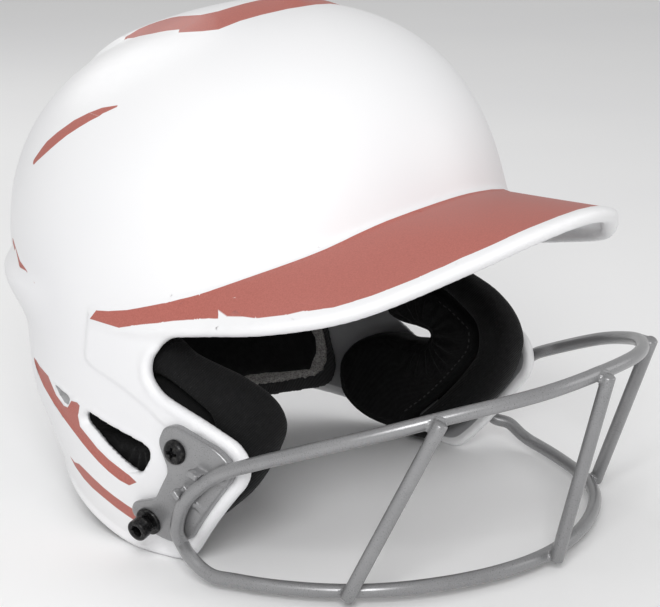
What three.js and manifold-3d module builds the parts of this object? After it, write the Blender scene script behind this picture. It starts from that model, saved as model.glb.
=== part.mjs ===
// Batting helmet with a wire face mask: hard shell, padding, mask, brackets and fasteners.
// Millimetres, +Z up, brim towards -Y, the wearer's left towards +X.
// The helmet stands pitched back, on the tips of its ear flaps and the foot of its mask.
import * as THREE from 'three';
import { mergeVertices } from 'three/addons/utils/BufferGeometryUtils.js';
import Module from 'manifold-3d';

const wasm = await Module();
wasm.setup();

// ---------------------------------------------------------------- driving dimensions
const STAND = { y: 45.8, z: 11.5 }; // moves the drawing so that its box stands centred on the origin
const DOME = { halfWidth: 110, front: 126, rise: 105, y: -2, z: 106.5 };
const PITCH = THREE.MathUtils.degToRad(19);
const ROUNDNESS = { plan: 2, flap: 2.6, nape: 2.3, profile: 2.35 };
const WALL_HALF_WIDTH = [[50, 110], [80, 109.5], [100, 107], [115, 102.5], [130, 95]]; // depth below the equator, mm
const WALL_BACK = [[0, 111], [35, 111.4], [70, 100], [105, 92]];
const SHELL = 4; // wall thickness
const GAP = 0.3; // between neighbouring solids
const PAD_START = SHELL + 1.8;
const NAPE_FLARE = { height: 5, top: 106, drop: 34, startY: 15, fullY: 60 };
const RIM = 3.2; // radius of the rolled edge of the brim
const WIRE = 3; // radius of the mask wire
const PLATE = 4; // bracket thickness
const SCREW = { head: 5.4, rise: 3, shank: 2.5, hole: 2.9 };
const STUD = { washer: 6.3, washerThick: 1.6, neck: 3.6, head: 4.8, length: 7, socket: 2.6, socketDepth: 5 };
const NUT = { flange: 7.5, thick: 2, bore: 2.9, barrel: 4, height: 3 };
const SCREW_SEAT = { y: -62, z: 45.5 };
const STUD_SEAT = { y: -43, z: 10 };

// Brim: where it leaves the dome, and the lower edge of its rolled rim, from the temple to the middle.
const BRIM_ROOT = [
  [109.5, -24, 97], [107.4, -43, 103], [101.7, -65, 109.5], [89.8, -87, 118.8],
  [66.4, -108.3, 129.7], [38.7, -118.5, 139.2], [0, -122.3, 143.7],
];
const BRIM_EDGE = [
  [109, -34, 88], [107.5, -50, 91], [105, -75, 95.7], [102, -108, 102.3],
  [87.5, -140, 111.4], [50, -168.5, 128], [25, -182.5, 138], [0, -187, 141.5],
];
const BRIM_THICK = 4;
const FINE = [40, 24]; // facets round and down the shell
const COARSE = [28, 18]; // and for what hides inside it

// Everything cut away in side view: the face opening, and what lies below the bottom edge.
const TRIM = [
  [-260, 150], [-140, 150], [-122, 139], [-108, 125], [-87, 114], [-65, 104], [-55, 93], [-44, 80],
  [-43, 74], [-47, 66], [-73, 58], [-88, 50], [-92, 44], [-91, 36], [-60, -3], [-53, -9], [-46, -11.5],
  [-28, -11.5], [-16, -9], [12, -1], [23, 2], [54, 10], [90, 20], [150, 30], [150, -100], [-260, -100],
];
const VENT = [
  [-7, 49], [-26, 45.5], [-41, 43], [-44.5, 39.5], [-38.5, 29.5], [-35, 28.5], [-26, 31.5], [-11, 38.5],
  [-3, 44.5], [-3, 47.5],
];
const VENT_POCKET = [[20.5, 56], [6.5, 53], [9, 48.5], [12.5, 47.5], [17, 50]];
const POCKET_DEPTH = 2.2;

const BRACKET = [
  [-53, 48], [-56, 55], [-62, 57], [-82, 50], [-88, 45], [-89, 38], [-63, 4], [-53, 0], [-44, 2],
  [-33, 10], [-35, 16], [-49, 21], [-58, 36],
];
// Padding on each ear flap: a roll along its front, and a C-shaped cushion round the ear hole behind it.
const LINER = [
  [-20, 88], [-42, 88], [-50, 82], [-74, 76], [-86, 70], [-93, 63], [-96, 54], [-92, 41], [-83, 26],
  [-65, 10], [-50, 0], [-44, -6], [-29, -7], [-29, -1], [-44.5, 13.5], [-58, 29], [-68.5, 43],
  [-70, 50], [-69.5, 58], [-61.5, 62.5], [-53, 67], [-43, 71], [-20, 71],
];
const LINER_THICK = 20;
const LAYER_GAP = 1; // between two layers of padding
const CUSHION = [
  [-27.5, 1], [-43, 15], [-56.5, 30], [-66.5, 43], [-68, 50], [-67, 56.5], [-61, 60.5], [-53, 64.5],
  [-43, 68.5], [-10, 68.5], [-8, 53], [-29, 50], [-38, 47.5], [-33, 41], [-23, 39.5], [-8, 40], [4, 36.5],
  [10, 32.5], [15, 25], [14, 16], [11, 8], [4, 1], [-5, -3.5], [-16, -5.5], [-27.5, -6],
];
const CUSHION_THICK = 19;

// Mask wire: upper bar from the middle outwards, its way down the bracket in side view, and the lower bar.
const WIRE_UPPER = [[0, -196, 81], [36, -192, 80], [69, -172, 74.5], [90, -149, 66.5], [102, -127, 58.5]];
const WIRE_ON_PLATE = [
  [-91, 44.5], [-84, 41], [-78.5, 37], [-72, 31], [-66.5, 24.5], [-62.5, 17], [-60.5, 11], [-61.5, 5.5],
];
const WIRE_LOWER = [
  [112.2, -70, 1], [112.2, -77.5, -3], [111.3, -83.5, -4.8], [108.5, -91, -5], [102, -107, -5.3],
  [88, -131.5, -5], [69, -151.5, -4.3], [36, -168, -4.5], [0, -173.5, -5],
];
// Each bar stands in front of the loop wire, against these two points of it.
const BARS = {
  right: { top: [-72, -169.5, 73.8], foot: [-85, -135, -5] },
  centre: { top: [0, -196, 81], foot: [0, -173.5, -5] },
  left: { top: [72, -169.5, 73.8], foot: [85, -135, -5] },
};
const BAR_OVERHANG = { top: 0.5, foot: 2 };
const BAR_LEAN_FROM = -70; // the bars face away from this point of the middle line
const CLIPS = [[-72, 40.5], [-63, 29.5]]; // posts of the two clips that hold the wire

const COLOURS = {
  shell: { color: 0xf2f2f3, roughness: 0.45, metalness: 0 },
  mask: { color: 0x8b8c8e, roughness: 0.4, metalness: 0.3 },
  hardware: { color: 0x141414, roughness: 0.35, metalness: 0.6 },
  fabric: { color: 0x101011, roughness: 0.9, metalness: 0 },
  foam: { color: 0x8f8d8a, roughness: 0.95, metalness: 0 },
};

// ---------------------------------------------------------------- helpers
const { clamp, smoothstep } = THREE.MathUtils;

function ramp(table, at) {
  if (at <= table[0][0]) return table[0][1];
  for (let i = 1; i < table.length; i += 1) {
    const [x0, y0] = table[i - 1];
    const [x1, y1] = table[i];
    if (at <= x1) return y0 + ((y1 - y0) * (at - x0)) / (x1 - x0);
  }
  return table[table.length - 1][1];
}

function toDrawing(x, along, up) {
  return new THREE.Vector3(
    x,
    along * Math.cos(PITCH) + up * Math.sin(PITCH) + DOME.y,
    -along * Math.sin(PITCH) + up * Math.cos(PITCH) + DOME.z,
  );
}

function toDome(p) {
  const y = p.y - DOME.y;
  const z = p.z - DOME.z;
  return [p.x, y * Math.cos(PITCH) - z * Math.sin(PITCH), y * Math.sin(PITCH) + z * Math.cos(PITCH)];
}

// 1 on the shell's outer surface moved inwards by inset, less than 1 inside it.
function gauge(x, along, up, inset) {
  const halfWidth = ramp(WALL_HALF_WIDTH, -up) - inset;
  const back = ramp(WALL_BACK, -up) - inset;
  const length = along < 0 ? DOME.front - inset : back;
  const mix = smoothstep(-up, 5, 50);
  const low = along < 0 ? ROUNDNESS.flap : ROUNDNESS.nape;
  const n = ROUNDNESS.plan + (low - ROUNDNESS.plan) * mix;
  const plan = ((Math.abs(x) / halfWidth) ** n + (Math.abs(along) / length) ** n) ** (1 / n);
  if (up <= 0) return plan;
  const m = ROUNDNESS.profile;
  return (plan ** m + (up / (DOME.rise - inset)) ** m) ** (1 / m);
}

// The nape stands proud of the dome in a band that fades out towards the ears.
function napeFlare(p) {
  const side = smoothstep(p.y, NAPE_FLARE.startY, NAPE_FLARE.fullY);
  const below = smoothstep(NAPE_FLARE.top - p.z, 0, 10);
  const fade = 1 - smoothstep(NAPE_FLARE.top - p.z, 10, NAPE_FLARE.drop);
  return NAPE_FLARE.height * side * below * fade;
}

function surfaceAlong(direction, inset, floor) {
  let near = 10;
  let far = direction.z < -0.01 ? floor / -direction.z : 400;
  const at = (r) => gauge(direction.x * r, direction.y * r, direction.z * r, inset) - 1;
  if (at(far) > 0) {
    for (let i = 0; i < 40; i += 1) {
      const middle = (near + far) / 2;
      if (at(middle) > 0) far = middle;
      else near = middle;
    }
  }
  const p = toDrawing(direction.x * far, direction.y * far, direction.z * far);
  const flare = napeFlare(p);
  if (flare > 0) {
    const out = new THREE.Vector3(p.x, p.y - DOME.y, 0).normalize();
    p.addScaledVector(out, flare);
  }
  return p;
}

// A point of the side wall found from the side, with its outward normal.
function wallSeat(y, z, side, inset) {
  let near = 20;
  let far = 140;
  const at = (x) => {
    const [, along, up] = toDome({ x, y, z });
    return gauge(x, along, up, inset) - 1;
  };
  for (let i = 0; i < 40; i += 1) {
    const middle = (near + far) / 2;
    if (at(middle) > 0) far = middle;
    else near = middle;
  }
  return new THREE.Vector3(side * far, y, z);
}

function wallNormal(y, z, side) {
  const step = 2;
  const dy = wallSeat(y + step, z, side, 0).sub(wallSeat(y - step, z, side, 0));
  const dz = wallSeat(y, z + step, side, 0).sub(wallSeat(y, z - step, side, 0));
  const normal = dy.cross(dz).normalize();
  return normal.multiplyScalar(Math.sign(normal.x) * side);
}

// Moves every vertex of a closed three.js geometry through place().
function mapped(geometry, place) {
  const position = geometry.getAttribute('position');
  const p = new THREE.Vector3();
  for (let i = 0; i < position.count; i += 1) {
    p.fromBufferAttribute(position, i);
    const q = place(p);
    position.setXYZ(i, q.x, q.y, q.z);
  }
  return geometry;
}

function solid(geometry) {
  const bare = geometry.index ? geometry.toNonIndexed() : geometry.clone();
  for (const name of Object.keys(bare.attributes)) {
    if (name !== 'position') bare.deleteAttribute(name);
  }
  const merged = mergeVertices(bare, 1e-4);
  const triangles = [];
  const index = merged.index.array;
  for (let i = 0; i < index.length; i += 3) {
    const [a, b, c] = [index[i], index[i + 1], index[i + 2]];
    if (a !== b && b !== c && c !== a) triangles.push(a, b, c);
  }
  const make = (triVerts) => new wasm.Manifold(new wasm.Mesh({
    numProp: 3,
    vertProperties: new Float32Array(merged.getAttribute('position').array),
    triVerts: new Uint32Array(triVerts),
  }));
  const made = make(triangles);
  if (made.volume() > 0) return made;
  const flipped = [];
  for (let i = 0; i < triangles.length; i += 3) {
    flipped.push(triangles[i], triangles[i + 2], triangles[i + 1]);
  }
  return make(flipped);
}

function geometryOf(manifold) {
  const mesh = manifold.getMesh();
  const geometry = new THREE.BufferGeometry();
  const count = mesh.vertProperties.length / mesh.numProp;
  const position = new Float32Array(count * 3);
  for (let i = 0; i < count; i += 1) {
    for (let k = 0; k < 3; k += 1) position[i * 3 + k] = mesh.vertProperties[i * mesh.numProp + k];
  }
  geometry.setAttribute('position', new THREE.BufferAttribute(position, 3));
  geometry.setIndex(Array.from(mesh.triVerts));
  geometry.computeVertexNormals();
  return geometry;
}

// The whole egg of the shell, closed by a flat floor well below the helmet.
function egg(inset, floor, [around, down]) {
  const sphere = new THREE.SphereGeometry(1, around, down);
  return solid(mapped(sphere, (p) => {
    const direction = new THREE.Vector3(p.x, p.z, p.y).normalize();
    return surfaceAlong(direction, inset, floor);
  }));
}

// A slab whose outline is drawn in side view, as [y, z], from x = from to x = to.
function sidePrism(outline, from, to) {
  const shape = new THREE.Shape(outline.map(([y, z]) => new THREE.Vector2(y, z)));
  const slab = new THREE.ExtrudeGeometry(shape, { depth: to - from, bevelEnabled: false, steps: 1 });
  return solid(mapped(slab, (p) => new THREE.Vector3(from + p.z, p.x, p.y)));
}

function sideRange(side, inner, outer) {
  return side < 0 ? [-outer, -inner] : [inner, outer];
}

function frameAt(point, axis) {
  const turn = new THREE.Quaternion().setFromUnitVectors(new THREE.Vector3(0, 1, 0), axis);
  return new THREE.Matrix4().compose(point, turn, new THREE.Vector3(1, 1, 1));
}

// A turned piece: profile of [radius, height] points, set on point with its axis along axis.
function turned(profile, segments, point, axis) {
  const lathe = new THREE.LatheGeometry(profile.map(([r, h]) => new THREE.Vector2(r, h)), segments);
  return solid(lathe.applyMatrix4(frameAt(point, axis)));
}

function rod(radius, from, to, segments) {
  const axis = to.clone().sub(from);
  const length = axis.length();
  return turned([[0, 0], [radius, 0], [radius, length], [0, length]], segments, from, axis.normalize());
}

const helmet = new THREE.Group();
helmet.position.set(0, STAND.y, STAND.z);

function add(name, manifold, look) {
  const mesh = new THREE.Mesh(geometryOf(manifold), new THREE.MeshStandardMaterial(COLOURS[look]));
  mesh.name = name;
  helmet.add(mesh);
}

const SIDES = [['right', -1], ['left', 1]];

// ---------------------------------------------------------------- shell
function mirroredCurve(half) {
  const points = half.map(([x, y, z]) => new THREE.Vector3(-x, y, z));
  for (const [x, y, z] of half.slice(0, -1).reverse()) points.push(new THREE.Vector3(x, y, z));
  return new THREE.CatmullRomCurve3(points, false, 'centripetal');
}

function brimSlab() {
  const root = mirroredCurve(BRIM_ROOT);
  const edge = mirroredCurve(BRIM_EDGE);
  const centre = new THREE.Vector3(0, DOME.y, 95);
  const top = (u, v) => {
    const from = root.getPoint(u);
    from.addScaledVector(centre.clone().sub(from).normalize(), SHELL - 0.5);
    const to = edge.getPoint(u).add(new THREE.Vector3(0, 0, RIM + BRIM_THICK / 2));
    return from.lerp(to, v);
  };
  const step = 1e-3;
  const slab = new THREE.BoxGeometry(1, 1, 1, 44, 3, 1);
  return solid(mapped(slab, (p) => {
    const u = clamp(p.x + 0.5, step, 1 - step);
    const v = p.y + 0.5;
    const across = top(u + step, v).sub(top(u - step, v));
    const out = top(u, v + 0.01).sub(top(u, v - 0.01));
    const normal = out.cross(across).normalize();
    return top(u, v).addScaledVector(normal, (p.z - 0.5) * BRIM_THICK);
  }));
}

function brimRim() {
  const edge = mirroredCurve(BRIM_EDGE);
  const raised = new THREE.CatmullRomCurve3(
    edge.getPoints(30).map((p) => p.add(new THREE.Vector3(-Math.sign(p.x) * 1.5, 2, RIM))),
  );
  const section = new THREE.Shape().absarc(0, 0, RIM, 0, Math.PI * 2);
  const options = { steps: 44, extrudePath: raised, bevelEnabled: false, curveSegments: 4 };
  return solid(new THREE.ExtrudeGeometry(section, options));
}

function outerShell() {
  const outer = egg(0, 150, FINE);
  const inner = egg(SHELL, 160, FINE);
  const wall = outer.subtract(inner).subtract(sidePrism(TRIM, -150, 150));
  const brim = brimSlab().add(brimRim()).subtract(inner);
  let shell = wall.add(brim).subtract(sidePrism(VENT, -150, 150));
  const pocket = sidePrism(VENT_POCKET, -150, 150).subtract(egg(POCKET_DEPTH, 150, FINE));
  shell = shell.subtract(pocket);
  for (const [, side] of SIDES) {
    for (const seat of [SCREW_SEAT, STUD_SEAT]) {
      shell = shell.subtract(seatHole(seat, side, SCREW.hole));
    }
  }
  return shell;
}

function seatHole(seat, side, radius) {
  const point = wallSeat(seat.y, seat.z, side, 0);
  const axis = wallNormal(seat.y, seat.z, side);
  return rod(radius, point.clone().addScaledVector(axis, -22), point.clone().addScaledVector(axis, 12), 12);
}

// ---------------------------------------------------------------- padding
// A pad on the inside of the dome: centre and half-spans in degrees round the head and up from the ears.
function domePad(azimuth, elevation, halfAcross, halfUp, start, thick) {
  const block = new THREE.BoxGeometry(2, 2, 1, 10, 6, 1);
  const rad = THREE.MathUtils.degToRad;
  return solid(mapped(block, (p) => {
    const a = rad(azimuth + p.x * halfAcross);
    const e = rad(elevation + p.y * halfUp);
    const flat = new THREE.Vector3(Math.sin(a) * Math.cos(e), -Math.cos(a) * Math.cos(e), Math.sin(e));
    return surfaceAlong(flat, start + (0.5 - p.z) * thick, 150);
  }));
}

function crownPad() {
  const disc = new THREE.CylinderGeometry(1, 1, 1, 20, 1);
  return solid(mapped(disc, (p) => {
    const reach = 0.5;
    const direction = new THREE.Vector3(p.x * reach, p.z * reach, 1).normalize();
    return surfaceAlong(direction, PAD_START + (0.5 - p.y) * 10, 150);
  }));
}

function sidePad(outline, side, start, thick) {
  const [from, to] = sideRange(side, 20, 150);
  const outer = egg(start, 150, COARSE);
  const inner = egg(start + thick, 150, COARSE);
  return sidePrism(outline, from, to).intersect(outer).subtract(inner);
}

// ---------------------------------------------------------------- mask
function maskLoop() {
  const lift = PLATE + WIRE + 3 * GAP;
  const half = [
    ...WIRE_UPPER.map((p) => new THREE.Vector3(...p)),
    ...WIRE_ON_PLATE.map(([y, z]) => wallSeat(y, z, 1, -lift)),
    ...WIRE_LOWER.map((p) => new THREE.Vector3(...p)),
  ];
  const points = [...half];
  for (const p of half.slice(1, -1).reverse()) points.push(new THREE.Vector3(-p.x, p.y, p.z));
  const loop = new THREE.CatmullRomCurve3(points, true, 'centripetal');
  return solid(new THREE.TubeGeometry(loop, 92, WIRE, 8, true));
}

function maskBar({ top, foot }) {
  const outward = (p) => new THREE.Vector3(p.x, p.y - BAR_LEAN_FROM, 0).setLength(2 * WIRE + 2 * GAP);
  const high = new THREE.Vector3(...top);
  const low = new THREE.Vector3(...foot);
  high.add(outward(high));
  low.add(outward(low));
  const along = high.clone().sub(low).normalize();
  high.addScaledVector(along, BAR_OVERHANG.top);
  low.addScaledVector(along, -BAR_OVERHANG.foot);
  return rod(WIRE, low, high, 12);
}

function bracket(side) {
  const [from, to] = sideRange(side, 60, 150);
  const outer = egg(-PLATE - GAP, 150, FINE);
  const inner = egg(-GAP, 150, FINE);
  let plate = sidePrism(BRACKET, from, to).intersect(outer).subtract(inner);
  for (const seat of [SCREW_SEAT, STUD_SEAT]) plate = plate.subtract(seatHole(seat, side, SCREW.hole));
  for (const [y, z] of CLIPS) {
    const seat = wallSeat(y, z, side, -PLATE);
    const axis = wallNormal(y, z, side);
    plate = plate.add(rod(2, seat.clone().addScaledVector(axis, -1), seat.addScaledVector(axis, 3), 8));
  }
  return plate;
}

// ---------------------------------------------------------------- fasteners
const PHILLIPS = { long: 2.6, wide: 0.9, deep: 1.6 };

function bracketScrew(side) {
  const point = wallSeat(SCREW_SEAT.y, SCREW_SEAT.z, side, 0);
  const axis = wallNormal(SCREW_SEAT.y, SCREW_SEAT.z, side);
  const seat = PLATE + 2 * GAP;
  const { head, rise, shank } = SCREW;
  let screw = turned(
    [[0, -8], [shank, -8], [shank, seat], [head, seat], [head, seat + 1], [head * 0.8, seat + 2.4],
      [head * 0.45, seat + rise], [0, seat + rise]],
    20, point, axis,
  );
  for (const [a, b] of [[PHILLIPS.long, PHILLIPS.wide], [PHILLIPS.wide, PHILLIPS.long]]) {
    const slot = new THREE.BoxGeometry(a * 2, PHILLIPS.deep * 2, b * 2);
    slot.translate(0, seat + rise, 0);
    screw = screw.subtract(solid(slot.applyMatrix4(frameAt(point, axis))));
  }
  return screw;
}

function strapStud(side) {
  const point = wallSeat(STUD_SEAT.y, STUD_SEAT.z, side, 0);
  const axis = wallNormal(STUD_SEAT.y, STUD_SEAT.z, side);
  const seat = PLATE + STUD.washerThick + 3 * GAP;
  const top = seat + STUD.length;
  const stud = turned(
    [[0, -8], [SCREW.shank, -8], [SCREW.shank, seat], [STUD.neck, seat], [STUD.neck, seat + 1.4],
      [STUD.head, seat + 2.2], [STUD.head, top - 0.8], [STUD.head - 0.8, top], [0, top]],
    20, point, axis,
  );
  const socket = new THREE.CylinderGeometry(STUD.socket, STUD.socket, STUD.socketDepth * 2, 6);
  socket.translate(0, top, 0);
  return stud.subtract(solid(socket.applyMatrix4(frameAt(point, axis))));
}

function studWasher(side) {
  const point = wallSeat(STUD_SEAT.y, STUD_SEAT.z, side, 0);
  const axis = wallNormal(STUD_SEAT.y, STUD_SEAT.z, side);
  const low = PLATE + 2 * GAP;
  const high = low + STUD.washerThick;
  const bore = SCREW.hole;
  return turned(
    [[bore, low], [STUD.washer, low], [STUD.washer, high], [bore, high], [bore, low]],
    20, point, axis,
  );
}

function teeNut(seat, side) {
  const point = wallSeat(seat.y, seat.z, side, 0);
  const axis = wallNormal(seat.y, seat.z, side);
  const top = -SHELL - 1;
  const { flange, thick, bore, barrel, height } = NUT;
  return turned(
    [[bore, top], [bore, top - height], [barrel, top - height], [barrel, top - thick],
      [flange, top - thick], [flange, top], [bore, top]],
    16, point, axis,
  );
}

function nutPocket(seat, side) {
  const point = wallSeat(seat.y, seat.z, side, 0);
  const axis = wallNormal(seat.y, seat.z, side);
  const deep = SHELL + 1 + NUT.height + 1.5;
  return rod(NUT.flange + 0.8, point.clone().addScaledVector(axis, -deep), point, 16);
}

// ---------------------------------------------------------------- assembly
add('outer_shell', outerShell(), 'shell');
add('crown_pad', crownPad(), 'fabric');
add('forehead_pad', domePad(0, 33, 40, 10, PAD_START, 10), 'fabric');
add('rear_pad_foam', domePad(180, -19, 58, 20, PAD_START, 5), 'foam');
add('rear_pad', domePad(180, -19, 57, 19, PAD_START + 5 + LAYER_GAP, 8), 'fabric');
for (const [name, side] of SIDES) {
  add(`side_pad_${name}`, domePad(side * 96, 26, 34, 9, PAD_START, 10), 'fabric');
  let liner = sidePad(LINER, side, PAD_START, LINER_THICK);
  let cushion = sidePad(CUSHION, side, PAD_START, CUSHION_THICK);
  for (const seat of [SCREW_SEAT, STUD_SEAT]) {
    liner = liner.subtract(nutPocket(seat, side));
    cushion = cushion.subtract(nutPocket(seat, side));
  }
  add(`ear_flap_liner_${name}`, liner, 'fabric');
  add(`ear_cushion_${name}`, cushion, 'fabric');
  add(`mask_bracket_${name}`, bracket(side), 'mask');
  add(`bracket_screw_${name}`, bracketScrew(side), 'hardware');
  add(`strap_stud_${name}`, strapStud(side), 'hardware');
  add(`stud_washer_${name}`, studWasher(side), 'hardware');
  add(`screw_tee_nut_${name}`, teeNut(SCREW_SEAT, side), 'hardware');
  add(`stud_tee_nut_${name}`, teeNut(STUD_SEAT, side), 'hardware');
}
add('mask_loop_wire', maskLoop(), 'mask');
for (const [name, bar] of Object.entries(BARS)) add(`mask_bar_${name}`, maskBar(bar), 'mask');

export default helmet;
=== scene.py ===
"""Detailed batting helmet over its CAD frame.

Shapes are worked out in millimetres in the helmet's drawing, where the brim points to -Y and
the ears to +X and -X, and are moved to the frame, in metres, when a mesh is made.
"""

import math

import bpy
import numpy as np
from mathutils import Matrix, Vector
from mathutils.bvhtree import BVHTree


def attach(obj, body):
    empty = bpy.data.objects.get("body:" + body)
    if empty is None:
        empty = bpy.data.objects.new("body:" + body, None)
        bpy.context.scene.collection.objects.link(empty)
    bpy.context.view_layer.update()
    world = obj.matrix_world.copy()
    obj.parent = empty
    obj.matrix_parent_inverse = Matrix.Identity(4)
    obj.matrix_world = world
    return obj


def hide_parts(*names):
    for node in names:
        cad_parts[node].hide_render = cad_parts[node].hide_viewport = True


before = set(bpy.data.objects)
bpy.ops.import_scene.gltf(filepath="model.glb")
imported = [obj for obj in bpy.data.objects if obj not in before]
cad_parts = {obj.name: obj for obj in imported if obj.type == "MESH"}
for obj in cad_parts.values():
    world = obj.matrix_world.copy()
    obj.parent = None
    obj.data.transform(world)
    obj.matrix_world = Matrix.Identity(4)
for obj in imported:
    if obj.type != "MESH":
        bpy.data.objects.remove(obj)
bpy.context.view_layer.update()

# ------------------------------------------------------------------ dimensions, mm
STAND = np.array([0.0, 45.8, 11.5])
CENTRE_Y, CENTRE_Z = -2.0, 106.5
PITCH = math.radians(19)
HALF_WIDTH = [(0, 110), (50, 110), (80, 109.5), (100, 107), (115, 102.5), (130, 95), (150, 84)]
BACK = [(0, 111), (35, 111.4), (70, 100), (105, 92), (150, 80)]
FRONT, RISE = 126.0, 105.0
SHELL, GAP, RIM, BRIM_THICK = 4.0, 0.3, 3.2, 3.4
PLATE, WIRE = 4.0, 3.0
SHELL_CELL = 1.3
SKIN_TRIANGLES = 175000  # aimed at, but the held paint borders keep it well above this
PAINT_BORDER, BORDER_HOLD = 1.8, 0.93  # how near the paint's edge, and how firmly, the skin stays fine
BAR_SINK, BAR_PAST_FOOT, BAR_PAST_TOP = 0.6, 1.5, 0.5  # of each mask bar against the loop wire
FLOOR = -11.4  # just above the ground that the ear flaps stand on
BEVEL_DEPTH, POCKET_DEPTH, EDGING = 2.8, 2.0, 0.45
BEAD = 2.6  # radius of the rolled edge round the shell's openings
SPINE_HEIGHT = 2.6

BRIM_ROOT = [
    (109.8, -12, 96.3), (109.5, -24, 98), (107.4, -43, 103), (101.7, -65, 109.5),
    (89.8, -87, 118.8), (66.4, -108.3, 129.7), (38.7, -118.5, 139.2), (0, -122.3, 143.7),
]
BRIM_EDGE = [
    (109.2, -12, 88.2), (109, -34, 88), (107.5, -50, 91), (105, -75, 95.7), (102, -108, 102.3),
    (87.5, -140, 111.4), (50, -168.5, 128), (25, -182.5, 138), (0, -187, 141.5),
]

# Outlines in side view, as (y, z).
TRIM = [
    (-260, 150), (-140, 150), (-122, 139), (-108, 125), (-87, 114), (-65, 104), (-55, 93),
    (-44, 83), (-42.5, 74), (-49, 66.5), (-73, 58), (-88, 51), (-92.5, 43), (-91, 35), (-60, -3),
    (-53, -9.5), (-46, -11.5), (-28, -11.5), (-16, -9), (12, -1), (23, 2), (54, 10), (90, 20),
    (150, 30), (150, -100), (-260, -100),
]
EAR_PANEL = [
    (-15, 99), (-9.5, 95), (-5.8, 74), (-11.5, 71), (-28, 66.5), (-43, 60.5), (-50, 55.5),
    (-60, 52), (-100, 60), (-100, 110), (-30, 99),
]
VENT = [
    (-7, 49.5), (-15, 47.5), (-26, 45.5), (-41, 43), (-44.5, 40), (-44, 37.5), (-38.5, 29.5), (-35, 28.2),
    (-31, 29), (-18.5, 35), (-5.5, 42), (-2.5, 44.5), (-2.2, 46.5), (-4, 48.5),
]
VENT_BEVEL = [
    (-4, 50), (-0.5, 47), (0.7, 43.5), (-1.5, 41), (-7, 38), (-13, 34), (-20, 31), (-26.5, 28.3),
    (-32.5, 27), (-37, 27), (-41, 32), (-44.5, 37.5), (-45, 41), (-41, 43.3), (-25, 46), (-7, 50),
]
POCKET = [(20.5, 56), (6.5, 53), (9, 48.5), (10.5, 47.4), (12.6, 47.6), (17, 50), (20, 53.3)]
TEE = [
    (44, 61.5), (39.5, 56.5), (32.5, 51.5), (25, 47.5), (19, 43.5), (11, 39.5), (2.5, 35), (-5, 31),
    (-12, 27.5), (-19, 24.5), (-25, 22.5), (-28.5, 21.5), (-32, 22), (-34.5, 24), (-35.5, 26.2),
    (-33.5, 26), (-30, 26), (-25, 27.5), (-19, 30), (-12, 33), (-6, 36.5), (0, 39.5), (2.5, 42.5),
    (2.3, 46), (-1, 51), (4.5, 52.5), (7.5, 49), (9.5, 46.7), (12, 46.2), (17, 49), (21.5, 52),
    (23, 55), (25, 57.5), (34.5, 59.2),
]
LOW_STRIPE = [
    (17.5, 23.5), (10.5, 21.5), (1, 19.5), (-8, 16), (-17.5, 13), (-27.5, 10), (-35, 8),
    (-35, 2), (-27.5, 4.5), (-16.5, 8), (-9, 10.5), (0, 12.5), (7.5, 15.5), (13.5, 19),
]
SLIVER = [
    (-9, 181.6), (5, 178.4), (18, 172), (33, 161.5), (42, 150.5), (41, 149), (33, 155.6), (18, 167), (5, 175),
]
NAPE_SLIVER = [(60, 113), (52.6, 108.2), (40.5, 103.4), (29.5, 99.4), (40, 101.6), (52, 106), (61, 111)]
BRACKET = [
    (-53, 48), (-56, 55), (-62, 57), (-82, 50), (-88, 45), (-89, 38), (-63, 4), (-53, 0), (-44, 2),
    (-33, 10), (-35, 16), (-49, 21), (-58, 36),
]
LINER = [
    (-20, 88), (-42, 88), (-50, 82), (-74, 76), (-86, 70), (-93, 63), (-96, 54), (-92, 41), (-83, 26),
    (-65, 10), (-50, 0), (-44, -6), (-29, -7), (-29, -1), (-44.5, 13.5), (-58, 29), (-68.5, 43),
    (-70, 50), (-69.5, 58), (-61.5, 62.5), (-53, 67), (-43, 71), (-20, 71),
]
CUSHION = [
    (-27.5, 1), (-43, 15), (-56.5, 30), (-66.5, 43), (-68, 50), (-67, 56.5), (-61, 60.5), (-53, 64.5),
    (-43, 68.5), (-10, 68.5), (-8, 51), (-18, 48), (-30, 47.5), (-38, 46.5), (-34, 41), (-23, 39.5),
    (-8, 40), (4, 36.5), (10, 32.5), (15, 25), (14, 16), (11, 8), (4, 1), (-5, -3.5), (-16, -5.5), (-27.5, -6),
]

# The crown's raised spine in plan, as (x, y) of one half: its flat top and the foot of its sloping side.
SPINE_TOP = [
    (0, -30), (-2.4, -27), (-5, -20), (-12, -16.8), (-21, -15.6), (-29, -12.8), (-36, -10.5),
    (-36, 0), (-31.8, 15), (-32.2, 23), (-34.6, 30), (-39.4, 36), (-38, 60), (-30, 88), (0, 96),
]
SPINE_FOOT = [
    (0, -36), (-11, -34.6), (-20, -33), (-29.5, -28.4), (-38, -26), (-44.8, -23.4), (-47, -13),
    (-48, -3), (-44.4, -2), (-44.4, 4), (-44.6, 17), (-41.6, 30), (-42, 37.5), (-41, 60), (-32, 90), (0, 99),
]

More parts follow.
